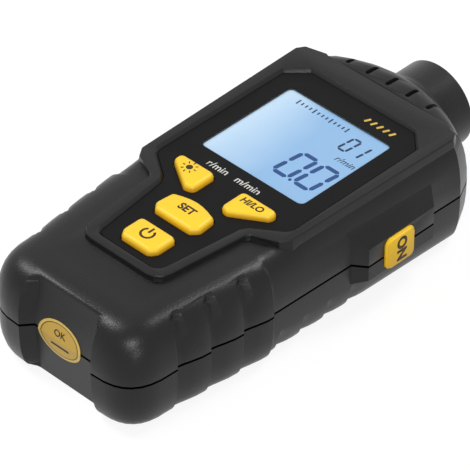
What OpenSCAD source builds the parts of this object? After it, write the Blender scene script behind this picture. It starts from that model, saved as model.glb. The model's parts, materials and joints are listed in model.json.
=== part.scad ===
/* [Housing] */
// Y of the tail, the end away from the light
tail_y = -77.9; // [-82:0.1:-76]
// Height of the plane where the two halves meet
parting_z = 17; // [16.5:0.1:18]
// Height of the handle's top
handle_z = 34.2; // [33.6:0.1:35]
// Distance from the panel's side to the grip's side at its wide end
grip_margin = 7.45; // [6.5:0.05:8]
// Distance from the panel's side to the waist's side
waist_margin = 6.45; // [6:0.05:7]
// Distance from the panel's side to the head's side at the front
head_margin = 8.55; // [8:0.05:9.5]
// Distance from the collar's straight line to the front wall of the housing
nose_seat = 4.3; // [3.9:0.1:5]
// Wall thickness of both halves
wall = 2.2; // [1.8:0.1:2.4]
// Width of the shadow gap along the parting plane
shadow_gap = 0.35; // [0.2:0.05:0.5]
// How far the handle's top rounding reaches inwards
handle_crown = 11.5; // [10:0.5:13]
// Squareness of the handle's top rounding
handle_power = 3; // [2.4:0.1:3.6]
// How far the head's top rounding reaches inwards
head_crown = 5; // [4:0.5:6]
// How far the bottom rounding reaches inwards
bottom_tuck = 6; // [4:0.5:7]
// Half width of the recess floor in the tail
recess_hw = 11.5; // [10:0.1:12.5]
// Depth of the recess in the tail at the parting plane
recess_d = 3.4; // [2.5:0.1:4]

/* [Grip grooves] */
// Number of finger grooves on each side
groove_n = 3; // [2:1:3]
// Y of the first groove
groove_y = -60.2; // [-61:0.1:-59.5]
// Distance from one groove to the next
groove_pitch = 11.6; // [11:0.1:11.8]
// Depth of a groove at the parting plane
groove_d = 1.1; // [0.6:0.1:1.4]
// Depth of a groove at its upper end
groove_top_d = 3; // [2:0.1:3.2]
// Number of small scallops under the waist
scallop_n = 4; // [3:1:4]
// Depth of a scallop
scallop_d = 1.2; // [0.6:0.1:1.5]

/* [Panel] */
// Height of the panel's face
panel_z = 35; // [34.9:0.1:35.2]
// Height of the rim around the panel, above its face
rim_h = 1.07; // [0.8:0.05:1.4]
// Half width of the panel beside the display
panel_hw = 26.15; // [25.5:0.05:26.5]
// Y of the panel's front edge
panel_front_y = 45.1; // [44.5:0.1:45.6]
// Y of the panel's rear edge
panel_rear_y = -49.5; // [-50.2:0.1:-49]
// Half width of the key tongue at its rear end
tongue_hw = 11.8; // [11.4:0.1:12.2]
// Thickness of the panel
plate_t = 1.5; // [1.2:0.1:1.6]
// Gap around the panel in its pocket
plate_gap = 0.15; // [0.1:0.05:0.25]

/* [Display] */
// Width of the display window
lcd_w = 40; // [36:0.5:42]
// Length of the display window
lcd_l = 37.4; // [34:0.1:39]
// Y of the display's centre
lcd_y = 17.5; // [17:0.1:18.5]
// Corner radius of the display window
lcd_r = 1.8; // [1:0.1:3]
// Thickness of the display cell
glass_t = 2.2; // [1.6:0.1:2.4]

/* [Keys] */
// Height of a front key above the panel
key_rise = 2; // [1.5:0.1:2.4]
// Travel of the front keys and of the side key
key_travel = 0.5; // [0.3:0.05:0.6]
// Gap between a key and its opening
key_gap = 0.3; // [0.2:0.05:0.4]
// Length of the side key
test_l = 11.6; // [10:0.1:12]
// Height of the side key
test_h = 10.8; // [10:0.1:11.5]
// Y of the side key's centre
test_y = 20.6; // [20:0.1:21.5]
// How far the side pad's face stands out from the head's side
pad_rise = 2.8; // [2.2:0.1:3.2]

/* [Nose] */
// Radius of the barrel
barrel_r = 13.9; // [13:0.1:14.2]
// Y of the barrel's mouth
barrel_y = 77.9; // [75:0.1:82]
// Wall thickness of the barrel
barrel_wall = 1.8; // [1.5:0.1:2.2]
// Y of the straight line where the collar starts
collar_y = 53.7; // [53.3:0.1:54]
// Number of slots in the collar
slot_n = 5; // [3:2:5]
// Distance from one slot to the next
slot_pitch = 7.85; // [7:0.05:8]
// Width of a slot
slot_w = 1.5; // [1:0.1:2]

/* [Battery bay] */
// Radius of a cell
cell_r = 5.25; // [5:0.05:5.25]
// Length of a cell
cell_l = 44.5; // [43:0.5:44.5]
// Distance between two cells
cell_pitch = 11.5; // [11.2:0.1:12]
// Gap between the battery door and its opening
door_gap = 0.3; // [0.2:0.05:0.4]

/* [Hidden] */
$fn = 48;

case_black = "#3b3b3c";
panel_black = "#343434";
key_yellow = "#ffd83a";
steel = "#b9bcc0";

// Overshoot of a cutting body past the face it cuts
over = 1;
// Side of a cutting block that is larger than the whole object
space = 200;
// Clearance between inner pieces that sit side by side
seat_gap = 0.2;

rim_z = panel_z + rim_h;
upper_h = handle_z - parting_z;
grip_hw = panel_hw + grip_margin;
waist_hw = panel_hw + waist_margin;
head_hw = panel_hw + head_margin;
front_y = collar_y + nose_seat;
recess_wall = 2.8;
tail_flat_hw = recess_hw + recess_wall;
tail_lead = 0.8;
tail_corner_y = groove_y - tail_lead;
corner_power = 2 / 2.8;
corner_steps = 8;
tail_crown = 14;
tail_tuck = 6.5;
base_power = 2.8;
head_power = 2.1;
// How far the recess floor leans in, from the parting plane to the top and to the base
recess_rise = 3;
recess_fall = 1.8;
// Least step from the tail's face down to the recess floor
floor_step = 0.05;
front_crown = 3;
grip_end_y = groove_y + groove_n * groove_pitch - tail_lead;
grip_taper = 0.08;
grip_curve = 0.0006;
grip_step = 1.5;
// A groove across its width: place along the housing, share of the depth at the parting plane and at its
// upper end, level where it ends. It starts as a saw tooth and turns into a narrow hollow with a steep wall
groove_shape = [[0, 0, 0, 0.8], [0.9, 1, 1, 0.9], [2.9, 0.8, 1, 0.95], [4.8, 0.5, 0, 0.95], [8.4, 0, 0, 0.82]];
// Share of the upper height over which a groove ends, so that its end wall stands about upright
groove_fade = 0.13;
// Share of the depth at the parting plane that a groove loses towards the base
groove_ease = 0.3;
head_y = -12;
// Front corner of the head: two flats, each given by its run across and along
front_corner = [[0, 0], [3.4, 6.6], [8.5, 8.4]];
scallop_pitch = 9.4;
scallop_y = grip_end_y + 3.4;
// A scallop along its length: place and share of the depth
scallop_shape = [[0, 0], [0.9, 1], [2.6, 0.55], [4.8, 0.18], [7.4, 0]];
scallop_start = 0.45;
scallop_fade = 0.3;

// Half width of the grip's ribs at a place along the length
function grip_x(y) = let (s = grip_end_y - y) grip_hw - grip_taper * s - grip_curve * s * s;
// Half width of the waist and head
function head_x(y) =
    waist_hw + (head_hw - waist_hw) * (y - grip_end_y) / (front_y - front_corner[2].y - grip_end_y);
// Share of the way from the handle's shape to the head's shape
function headward(y) = min(1, max(0, (y - grip_end_y) / (head_y - grip_end_y)));
// Reach of the top rounding, which is large on the handle and small on the head
function crown(y) = handle_crown + (head_crown - handle_crown) * headward(y);
function squareness(y) = handle_power + (head_power - handle_power) * headward(y);
// Share of the rounding's reach at a level, 0 at the parting plane and 1 at the flat
function bow(t, p) = 1 - pow(1 - pow(min(1, t), p), 1 / p);

// Depth of a groove at a level and a place across its width, fading out below the level where it ends
function groove_at(t, up, p) =
    !up ? p[1] * groove_d * (1 - groove_ease * t)
    : let (
        share = p[1] + (p[2] - p[1]) * t,
        deep = groove_d + (groove_top_d - groove_d) * t
    )
    share * deep * min(1, max(0, (p[3] - t) / groove_fade));
function scallop_at(t, up) = up ? 0 : scallop_d * min(1, max(0, (t - scallop_start) / scallop_fade));

// Right half of the housing's outline at a level, from the tail to the front
function half_outline(t, up, inset, grooves) =
    let (
        side = function(y)
            let (reach = up ? crown(y) : bottom_tuck, power = up ? squareness(y) : base_power)
            (reach - inset) * bow(t, power) + inset,
        tail = tail_y + ((up ? tail_crown : tail_tuck) - inset) * bow(t, up ? handle_power : base_power),
        floor_y = max(tail + floor_step, tail_y + recess_d + (up ? recess_rise : recess_fall) * t) + inset,
        corner_a = grip_x(tail_corner_y) - side(tail_corner_y) - (tail_flat_hw - inset / 2),
        corner_b = tail_corner_y - tail - inset,
        corner_y = front_y - front_corner[2].y,
        edge_y = front_y - front_crown * bow(t, head_power) - inset
    )
    concat(
        [[recess_hw, floor_y]],
        [for (k = [0:corner_steps])
            let (a = 90 * k / corner_steps)
            [tail_flat_hw - inset / 2 + corner_a * pow(sin(a), corner_power),
             tail_corner_y - corner_b * pow(cos(a), corner_power)]],
        !grooves ? [] : [for (k = [0:groove_n - 1], p = groove_shape)
            let (y = groove_y + k * groove_pitch + p[0])
            [grip_x(y) - side(y) - groove_at(t, up, p), y]],
        [[grip_x(grip_end_y) - side(grip_end_y), grip_end_y],
         [head_x(grip_end_y) - side(grip_end_y), grip_end_y + grip_step]],
        !grooves ? [] : [for (k = [0:scallop_n - 1], p = scallop_shape)
            let (y = scallop_y + k * scallop_pitch + p[0])
            [head_x(y) - side(y) - scallop_at(t, up) * p[1], y]],
        [for (c = front_corner)
            [head_hw - side(corner_y) - c.x, corner_y + (edge_y - corner_y) * c.y / front_corner[2].y]]
    );

// Whole outline at a level: the right half and its mirror
function outline(t, up, inset, grooves) =
    let (h = half_outline(t, up, inset, grooves))
    concat(h, [for (k = [len(h) - 1:-1:0]) [-h[k].x, h[k].y]]);

function ring(points, z) = [for (p = points) [p.x, p.y, z]];

// Solid skin through a stack of outlines with the same number of points
module loft(rings) {
    n = len(rings[0]);
    m = len(rings);
    polyhedron(
        points = [for (r = rings, p = r) p],
        faces = concat(
            [[for (i = [0:n - 1]) i]],
            [[for (i = [n - 1:-1:0]) (m - 1) * n + i]],
            [for (j = [0:m - 2], i = [0:n - 1])
                [j * n + i, (j + 1) * n + i, (j + 1) * n + (i + 1) % n, j * n + (i + 1) % n]]
        )
    );
}

upper_levels = [0.3, 0.55, 0.7, 0.79, 0.84, 0.88, 0.92, 0.95, 0.975, 0.992, 1];
lower_levels = [1, 0.99, 0.965, 0.92, 0.85, 0.75, 0.6, 0.45, 0.25];
inner_levels = [0.35, 0.65, 0.85, 0.95, 1];
gap_inset = 0.7;
foot_t = shadow_gap / upper_h;

// All that lies between two heights
module slab(z0, z1) {
    translate([-space / 2, -space / 2, z0]) cube([space, space, z1 - z0]);
}

// Upper half of the housing's skin, with the shadow gap at its foot
module upper_skin() {
    intersection() {
        loft(concat(
            [ring(outline(0, true, gap_inset, true), parting_z - over),
             ring(outline(foot_t, true, gap_inset, true), parting_z + shadow_gap),
             ring(outline(foot_t, true, 0, true), parting_z + shadow_gap)],
            [for (t = upper_levels) ring(outline(t, true, 0, true), parting_z + t * upper_h)],
            [ring(outline(1, true, 0, true), handle_z + over)]
        ));
        slab(parting_z, handle_z);
    }
}

module lower_skin() {
    intersection() {
        loft(concat(
            [ring(outline(1, false, 0, true), -over)],
            [for (t = lower_levels) ring(outline(t, false, 0, true), parting_z * (1 - t))],
            [ring(outline(0, false, 0, true), parting_z),
             ring(outline(0, false, 0, true), parting_z + over)]
        ));
        slab(0, parting_z);
    }
}

inner_inset = wall + groove_d;
ceiling_z = panel_z - plate_t - wall;
// Room left around the display in the case's top
lcd_ledge = 1;

module upper_hollow() {
    intersection() {
        loft(concat(
            [ring(outline(0, true, inner_inset, false), parting_z - 2 * over),
             ring(outline(0, true, inner_inset, false), parting_z)],
            [for (t = inner_levels)
                ring(outline(t, true, inner_inset, false), parting_z + t * (ceiling_z - parting_z))],
            [ring(outline(1, true, inner_inset, false), ceiling_z + over)]
        ));
        slab(parting_z - over, ceiling_z);
    }
}

module lower_hollow() {
    intersection() {
        loft(concat(
            [ring(outline(1, false, inner_inset, false), wall - over)],
            [for (k = [len(inner_levels) - 1:-1:0])
                let (t = inner_levels[k])
                ring(outline(t, false, inner_inset, false), parting_z - t * (parting_z - wall))],
            [ring(outline(0, false, inner_inset, false), parting_z),
             ring(outline(0, false, inner_inset, false), parting_z + 2 * over)]
        ));
        slab(wall, parting_z + over);
    }
}

// Mirrors a list of right half points into a closed outline
function both_sides(h) = concat(h, [for (k = [len(h) - 1:-1:0]) [-h[k].x, h[k].y]]);

// Points of a round corner between two directions
function arc(c, r, a0, a1, n) = [for (k = [0:n])
    let (a = a0 + (a1 - a0) * k / n)
    [c.x + r * cos(a), c.y + r * sin(a)]];

function unit(v) = v / norm(v);

// Closed outline moved outwards by a distance
function grown(pts, d) =
    let (n = len(pts))
    [for (i = [0:n - 1])
        let (
            u = unit(pts[i] - pts[(i + n - 1) % n]),
            v = unit(pts[(i + 1) % n] - pts[i]),
            a = [u.y, -u.x],
            b = [v.y, -v.x]
        )
        pts[i] + d * (a + b) / (1 + a * b)];

// Points of the arc that rounds the corner p between its neighbours a and b
function fillet(a, p, b, r, n) =
    let (
        u = unit(a - p),
        v = unit(b - p),
        half = acos(u * v) / 2,
        c = p + unit(u + v) * r / sin(half),
        s = p + u * r / tan(half) - c,
        e = p + v * r / tan(half) - c,
        start = atan2(s.y, s.x),
        turn = atan2(s.x * e.y - s.y * e.x, s * e)
    )
    arc(c, r, start, start + turn, n);

function flat(c) = [c[0], c[1]];

// Closed outline through corners that each give a place and a radius
function rounded(corners, n) =
    let (m = len(corners))
    [for (i = [0:m - 1])
        let (before = corners[(i + m - 1) % m], here = corners[i], after = corners[(i + 1) % m])
        each fillet(flat(before), flat(here), flat(after), here[2], n)];

// The same corners on the other side, in the order that keeps an outline running the same way round
function mirrored(h) = [for (k = [len(h) - 1:-1:0]) [-h[k][0], h[k][1], h[k][2]]];

// Mirrors a list of right half corners, keeping their radii
function both_corners(h) = concat(h, mirrored(h));

panel_jog_y = -12.5;
tongue_root = [17, -18.8];
tongue_neck = [15.2, -21.5];
panel_corner = 5.8;
tongue_r = 2.5;
neck_r = 3;
corner_r = 0.8;

panel_base = rounded(both_corners([
    [tongue_hw, panel_rear_y, tongue_r],
    [tongue_neck.x, tongue_neck.y, neck_r],
    [tongue_root.x, tongue_root.y, neck_r],
    [panel_hw, panel_jog_y, neck_r],
    [panel_hw, panel_front_y - panel_corner, corner_r],
    [panel_hw - panel_corner, panel_front_y, corner_r]
]), 3);

// Panel outline, grown by a margin
function panel_outline(d) = grown(panel_base, d);

rim_w = 3.6;
head_rim_w = 3.4;
head_flare = 1.6;
bezel_lap = 0.9;
bezel_front_y = collar_y + bezel_lap;
// Cuts at the bezel's corners: beside the keys, at the jog and at the front
neck_cut = 1;
jog_cut = 2;
bezel_corner = [[0, 5], [1.6, 2.4]];

bezel_base = rounded(both_corners([
    [tongue_hw + rim_w, panel_rear_y - rim_w, 2 * tongue_r],
    [tongue_neck.x + rim_w, tongue_neck.y - rim_w / 3, neck_r / 2],
    [tongue_root.x + rim_w - neck_cut, tongue_root.y - rim_w + neck_cut, neck_r / 2],
    [panel_hw + head_rim_w - jog_cut, panel_jog_y - head_rim_w - jog_cut, corner_r],
    [panel_hw + head_rim_w, panel_jog_y - head_rim_w + jog_cut / 2, corner_r],
    for (c = bezel_corner) [panel_hw + head_rim_w + head_flare - c.x, bezel_front_y - c.y, corner_r],
    [panel_hw - panel_corner, bezel_front_y, corner_r]
]), 3);

// Outline of the raised bezel and tongue, grown by a margin
function bezel_outline(d) = grown(bezel_base, d);

// Profile of the bezel's edge: height below its top and margin
bezel_edge = [[2.2, 0.35], [0.3, 0.05], [0, -0.2]];

module bezel_block() {
    foot_z = ceiling_z - wall / 2;
    intersection() {
        loft(concat(
            [ring(bezel_outline(bezel_edge[0][1]), foot_z - over)],
            [for (e = bezel_edge) ring(bezel_outline(e[1]), rim_z - e[0])],
            [ring(bezel_outline(bezel_edge[2][1]), rim_z + over)]
        ));
        slab(foot_z, rim_z);
    }
}

rim_bevel = 0.93;
pocket_z = panel_z - plate_t;

module panel_pocket() {
    translate([0, 0, pocket_z]) linear_extrude(plate_t + rim_h + over) polygon(panel_outline(0));
    loft([
        ring(panel_outline(0), panel_z),
        ring(panel_outline(rim_bevel), rim_z),
        ring(panel_outline(rim_bevel), rim_z + over)
    ]);
}

module rounded_rect(w, l, r) {
    polygon([for (c = [[1, 1, 0], [-1, 1, 90], [-1, -1, 180], [1, -1, 270]],
                  p = arc([c.x * (w / 2 - r), c.y * (l / 2 - r)], r, c.z, c.z + 90, 5)) p]);
}

// The raised pad around the side key, with bevels on all four sides
pad_x = head_hw + pad_rise;
pad_l = 27;
pad_shift = 1;
pad_zs = [12.1, 23.4];
pad_bevel = 5;
pad_root_d = 3.7;
pad_foot_d = 0.6;
pad_root_x = head_hw - pad_root_d;
// Rings of the pad from its root to its face: place and share of the bevel
pad_rings = [[pad_root_x, 1.3], [head_hw - pad_foot_d, 0.7], [pad_x, 0]];
// Share of the bevel at the pad's foot and ends
pad_foot_bevel = 0.45;
pad_end_bevel = 0.7;

module side_pad() {
    loft([for (s = pad_rings)
        let (
            b = pad_bevel * s[1],
            l = pad_l / 2 + b * pad_end_bevel,
            low = pad_zs[0] - b * pad_foot_bevel,
            high = pad_zs[1] + b
        )
        [for (p = [[-l, low], [l, low], [l, high], [-l, high]]) [s[0], test_y + pad_shift + p[0], p[1]]]]);
}

key_flange = 1.4;
key_r = 2;
test_flange_t = 1.4;
test_seat = 0.4;
test_root_x = head_hw - inner_inset - test_flange_t - test_seat;
test_lift = 0.3;
test_z = parting_z + test_lift;

module side_key_opening() {
    l = test_l + 2 * key_gap;
    h = test_h + 2 * key_gap;
    translate([test_root_x - over, test_y, test_z]) rotate([90, 0, 90])
        linear_extrude(pad_x - test_root_x + 2 * over) rounded_rect(l, h, key_r + key_gap);
    translate([test_root_x - 2 * over, test_y - l / 2 - key_flange, test_z - h / 2 - key_flange])
        cube([2 * over + test_flange_t + test_seat, l + 2 * key_flange, h + 2 * key_flange]);
}

// Plan of the seat that the collar takes out of the housing's front
collar_flat_hw = 21.5;
// Bend from the seat's straight line to its sides: run across and along
collar_bend = [[0, 0], [3, 1.1], [5.5, 3], [6.5, 5.2]];
collar_hw = collar_flat_hw + collar_bend[3].x;
collar_reach = 14;
collar_base = both_sides(concat(
    [for (c = collar_bend) [collar_flat_hw + c.x, collar_y + c.y]],
    [[collar_hw, front_y + collar_reach]]
));
function collar_plan(d) = grown(collar_base, d);

collar_gap = 0.25;
saddle_y = 44;
saddle_t = 2.5;
barrel_tail = 4;
barrel_back_y = saddle_y - barrel_tail;
saddle_gap = 0.15;

module half_space(up) {
    translate([-space / 2, -space / 2, up ? parting_z : parting_z - space]) cube(space);
}

// Round way for the barrel through the saddle and the front wall
module barrel_way() {
    translate([0, saddle_y - over, parting_z]) rotate([-90, 0, 0])
        cylinder(r = barrel_r + saddle_gap, h = collar_y - saddle_y + 2 * over);
}

board_z = 25;
board_t = 1.6;
post_r = 2.6;
post_hole_r = 0.9;
post_hole_d = 5;
board_post_d = 4.65;
tail_post_d = 1.3;
post_ys = [41, -45];
post_xs = [panel_hw - board_post_d, tongue_hw - tail_post_d];
board_posts = [for (k = [0, 1], s = [1, -1]) [s * post_xs[k], post_ys[k]]];

case_screw_y = [-68.5, 48];
case_screw_x = [17, 26];
function screw_places() = [for (k = [0, 1], s = [-1, 1]) [s * case_screw_x[k], case_screw_y[k]]];
screw_post_r = 3.2;
screw_r = 1.25;
screw_head_r = 2.6;
screw_head_z = 4.2;
screw_core_r = 1;
screw_bite = 8;
screw_thread_r = 0.95;
screw_head_t = 2;
head_gap = 0.3;

module top_case() {
    color(case_black) difference() {
        union() {
            upper_skin();
            bezel_block();
            intersection() {
                side_pad();
                translate([0, 0, shadow_gap]) half_space(true);
            }
        }
        difference() {
            upper_hollow();
            translate([-space / 2, saddle_y, parting_z]) cube([space, saddle_t, ceiling_z]);
            for (p = board_posts) translate([p.x, p.y, board_z + board_t]) cylinder(r = post_r, h = upper_h);
            for (p = screw_places()) translate([p.x, p.y, parting_z]) cylinder(r = screw_post_r, h = upper_h);
        }
        barrel_way();
        panel_pocket();
        translate([0, lcd_y, ceiling_z - over]) linear_extrude(wall + 2 * over)
            rounded_rect(lcd_w + 2 * lcd_ledge, lcd_l + 2 * lcd_ledge, lcd_r);
        for (k = [0:len(key_bases) - 1]) translate([0, 0, ceiling_z - over]) linear_extrude(wall + 2 * over)
            polygon(key_outline(k, key_flange + key_gap));
        side_key_opening();
        translate([0, 0, -over]) linear_extrude(space) polygon(collar_plan(collar_gap));
        for (p = board_posts) translate([p.x, p.y, board_z])
            cylinder(r = post_hole_r, h = board_t + post_hole_d);
        for (p = screw_places()) translate([p.x, p.y, parting_z - over])
            cylinder(r = screw_core_r, h = screw_bite + 2 * over);
    }
}

bay_wall = 2.4;
door_lip = 1.5;
bay_ceiling_z = 15;
cell_z = 9.5;
contact_t = 0.4;
spring_l = 4.5;
bay_gap = 0.6;
bay_hw = cell_pitch + cell_r + bay_gap;
bay_y = -62.5;
bay_l = cell_l + spring_l + 2 * contact_t + bay_gap;
door_w = 2 * (bay_hw + door_lip);
door_l = bay_l + 2 * door_lip;
door_z = 0.2;
door_t = 2;
door_r = 2;

module door_outline(d) {
    translate([0, bay_y + bay_l / 2]) rounded_rect(door_w + 2 * d, door_l + 2 * d, door_r);
}

module bottom_case() {
    color(case_black) difference() {
        union() {
            lower_skin();
            intersection() {
                side_pad();
                half_space(false);
            }
        }
        difference() {
            lower_hollow();
            translate([-space / 2, saddle_y, 0]) cube([space, saddle_t, parting_z]);
            translate([-bay_hw - bay_wall, bay_y - bay_wall, 0])
                cube([2 * (bay_hw + bay_wall), bay_l + 2 * bay_wall, bay_ceiling_z + bay_wall]);
            for (p = screw_places()) translate([p.x, p.y, 0]) cylinder(r = screw_post_r, h = parting_z);
        }
        barrel_way();
        translate([-bay_hw, bay_y, door_z]) cube([2 * bay_hw, bay_l, bay_ceiling_z - door_z]);
        translate([0, 0, -over]) linear_extrude(door_z + door_t + seat_gap + over) door_outline(door_gap);
        side_key_opening();
        translate([0, 0, -over]) linear_extrude(space) polygon(collar_plan(collar_gap));
        for (p = screw_places()) {
            translate([p.x, p.y, -over]) cylinder(r = screw_r + seat_gap, h = parting_z + 2 * over);
            translate([p.x, p.y, -over]) cylinder(r = screw_head_r + head_gap, h = screw_head_z + over);
        }
    }
}

module face_plate() {
    color(panel_black) translate([0, 0, pocket_z]) difference() {
        linear_extrude(plate_t) polygon(panel_outline(-plate_gap));
        translate([0, lcd_y, -over]) linear_extrude(plate_t + 2 * over) rounded_rect(lcd_w, lcd_l, lcd_r);
        for (k = [0:len(key_bases) - 1]) translate([0, 0, -over]) linear_extrude(plate_t + 2 * over)
            polygon(key_outline(k, key_gap));
    }
}

window_gap = 0.1;
window_t = 0.6;
window_drop = 0.15;
glass_top = panel_z - window_drop - window_t;

module display_outline() {
    rounded_rect(lcd_w - 2 * window_gap, lcd_l - 2 * window_gap, lcd_r - window_gap);
}

module lcd_window() {
    color("#a7cdef", 0.35) translate([0, lcd_y, glass_top]) linear_extrude(window_t) display_outline();
}

module lcd_glass() {
    color("#a7cdef") translate([0, lcd_y, glass_top - glass_t]) linear_extrude(glass_t) display_outline();
}

zebra_t = 2.4;
board_top = board_z + board_t;
stack_h = glass_top - glass_t - board_top;
stack_w = lcd_w - 2 * lcd_ledge;
stack_l = lcd_l - 2 * lcd_ledge;

module lcd_backlight() {
    color("#e8edf0") translate([-stack_w / 2, lcd_y - stack_l / 2, board_top])
        cube([stack_w, stack_l - zebra_t - 3 * seat_gap, stack_h]);
}

module zebra_strip() {
    color("#d77f8c") translate([-stack_w / 2, lcd_y + stack_l / 2 - zebra_t, board_top])
        cube([stack_w, zebra_t, stack_h]);
}

board_margin = 1.15;
board_tail_margin = 1.6;
board_front_gap = 0.5;
board_hole_r = 1.3;
barrel_room = 1;
board_tail_hw = tongue_hw + board_tail_margin;
board_hw = panel_hw - board_margin;
board_outline = both_sides([
    [board_tail_hw, panel_rear_y + board_margin],
    [board_tail_hw, tongue_root.y - board_margin],
    [board_hw, panel_jog_y - board_margin],
    [board_hw, saddle_y - board_front_gap]
]);

module main_board() {
    color("#1f5a3a") translate([0, 0, board_z]) difference() {
        linear_extrude(board_t) polygon(board_outline);
        for (p = board_posts) translate([p.x, p.y, -over])
            cylinder(r = board_hole_r, h = board_t + 2 * over);
        translate([-barrel_r - barrel_room, barrel_back_y - barrel_room, -over])
            cube([2 * (barrel_r + barrel_room), barrel_tail + 2 * barrel_room, board_t + 2 * over]);
    }
}

chip_size = 10;
chip_y = 8;
chip_t = 1.4;

module controller_chip() {
    color("#1b1b1d") translate([-chip_size / 2, chip_y, board_z - chip_t])
        cube([chip_size, chip_size, chip_t]);
}

board_screw_r = 0.8;
board_screw_bite = 3;
board_head_r = 2.2;
board_head_t = 1.4;

module board_screws() {
    color(steel) for (p = board_posts) translate([p.x, p.y, board_z]) {
        translate([0, 0, -board_head_t]) cylinder(r = board_head_r, h = board_head_t);
        cylinder(r = board_screw_r, h = board_t + board_screw_bite);
    }
}

// Sizes of the front keys: power, select and the pair of three-cornered keys
power_w = 13.8;
power_l = 9.6;
power_cut = [1.5, 2.3];
select_w = 17.6;
select_l = 11.2;
select_cut = [1.9, 2.2];
select_crown = 2.7;
select_taper = 0.6;
pair_w = 13.6;
pair_l = 9.9;
pair_inner_x = 5.4;
pair_front_y = -9.4;
pair_foot_w = 3;
pair_side_l = 3.3;
pair_toe = 0.7;
cap_r = 1.7;
cap_steps = 4;
select_top_r = 15;

// Centres of the four front keys, where their stems stand
key_centres = [[0, -41.9], [0, -26.6], [-12.4, -13.6], [12.4, -13.6]];

power_half = let (x = power_w / 2, y = key_centres[0].y, l = power_l / 2)
    [[x - power_cut.x, y - l, cap_r], [x, y - l + power_cut.y, cap_r], [x, y + l, cap_r]];
select_half = let (x = select_w / 2, y = key_centres[1].y, l = select_l / 2)
    [[x - select_cut.x, y - l, cap_r],
     [x, y - l + select_cut.y, cap_r],
     [x - select_taper, y + l - select_crown, cap_r]];
select_top = [0, key_centres[1].y + select_l / 2, select_top_r];
pair_half = let (x0 = pair_inner_x, x1 = pair_inner_x + pair_w, y = pair_front_y, l = pair_l)
    [[x0, y, cap_r],
     [x0, y - l + pair_toe, cap_r],
     [x0 + pair_foot_w, y - l, cap_r],
     [x1, y - pair_side_l, cap_r],
     [x1, y, cap_r]];
key_bases = [for (c = [both_corners(power_half),
                       concat(select_half, [select_top], mirrored(select_half)),
                       mirrored(pair_half),
                       pair_half]) rounded(c, cap_steps)];

// Outline of a front key, grown by a margin: power, select, light and max or min
function key_outline(k, d) = grown(key_bases[k], d);

// Profile of a key's cap: share of its rise and margin
key_profile = [[0.3, 0], [0.6, -0.18], [0.8, -0.45], [0.93, -0.85], [1, -1.4]];

flange_t = 1;
flange_gap = 0.1;
switch_h = 3.4;
stem_gap = 0.1;
stem_r = 2;
stem_z = board_top + switch_h + key_travel + stem_gap;

// One front key: domed cap, flange below the panel and stem down to its switch
module front_key(k) {
    flange_z = pocket_z - flange_gap - flange_t;
    color(key_yellow) union() {
        loft(concat(
            [ring(key_outline(k, 0), flange_z + flange_t)],
            [for (e = key_profile) ring(key_outline(k, e[1]), panel_z + key_rise * e[0])]
        ));
        translate([0, 0, flange_z]) linear_extrude(flange_t) polygon(key_outline(k, key_flange));
        translate([key_centres[k].x, key_centres[k].y, stem_z]) cylinder(r = stem_r, h = flange_z - stem_z);
    }
}

module power_key() { front_key(0); }
module select_key() { front_key(1); }
module light_key() { front_key(2); }
module max_min_key() { front_key(3); }

switch_size = 6;
switch_button_r = 1.7;
switch_button_h = 1;

module key_switches() {
    color("#2b2b2d") for (c = key_centres) translate([c.x, c.y, board_top]) {
        translate([-switch_size / 2, -switch_size / 2, 0])
            cube([switch_size, switch_size, switch_h - switch_button_h]);
        translate([0, 0, switch_h - switch_button_h]) cylinder(r = switch_button_r, h = switch_button_h);
    }
}

side_switch_margin = 4.15;
side_switch_x = panel_hw - side_switch_margin;
side_switch_t = 4;
side_button_l = 1.2;

module side_switch() {
    color("#2b2b2d") union() {
        translate([side_switch_x - side_switch_t, test_y - switch_size / 2, test_z - switch_size / 2])
            cube([side_switch_t, switch_size, board_z - test_z + switch_size / 2]);
        translate([side_switch_x, test_y, test_z]) rotate([0, 90, 0])
            cylinder(r = switch_button_r, h = side_button_l);
    }
}

test_rise = 1;
test_edge = 0.9;
// Share of the side key's rise below its edge step
test_step = 0.4;

module test_key() {
    stem_x = side_switch_x + side_button_l + key_travel + stem_gap;
    shoulder = pad_x + test_rise * test_step - test_root_x;
    color(key_yellow) union() {
        translate([test_root_x, test_y, test_z]) rotate([90, 0, 90]) {
            linear_extrude(test_flange_t)
                rounded_rect(test_l + 2 * key_flange, test_h + 2 * key_flange, key_r);
            linear_extrude(shoulder) rounded_rect(test_l, test_h, key_r);
            translate([0, 0, shoulder]) linear_extrude(test_rise * (1 - test_step))
                rounded_rect(test_l - test_edge, test_h - test_edge, key_r - test_edge / 3);
        }
        translate([stem_x, test_y, test_z]) rotate([0, 90, 0]) cylinder(r = stem_r, h = test_root_x - stem_x);
    }
}

collar_top = rim_z - parting_z;
collar_lift = 0.6;
collar_low = parting_z - collar_lift;
collar_steps = 48;

// Ring of the collar: a squarish oval that turns into the barrel's circle
function collar_ring(y, w, top, low, power) = [for (k = [collar_steps - 1:-1:0])
    let (a = 360 * k / collar_steps, c = cos(a), s = sin(a), h = s > 0 ? top : low)
    [w * sign(c) * pow(abs(c), 2 / power), y, parting_z + h * sign(s) * pow(abs(s), 2 / power)]];

// Rings in front of the collar's flat: run along the nose, loss of width, loss above, loss below, squareness
collar_rings = [
    [3.3, 0.5, 0.05, 0.2, 4.2],
    [5.3, 1.5, 0.2, 0.5, 3.3],
    [7.8, 4.5, 0.9, 1.2, 2.7],
    [9.7, 8, 2.2, 1.7, 2.35],
    [11.3, 11, 3.6, 2.2, 2.1]
];
collar_power = 6;
collar_root = [12.8, 0.5];
collar_end = [14.8, -0.1];
slot_l = 5.2;
slot_d = 2;
slot_lead = 1.3;
slot_r = slot_w * 0.45;
slot_y = collar_y + slot_lead + slot_l / 2;

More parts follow.
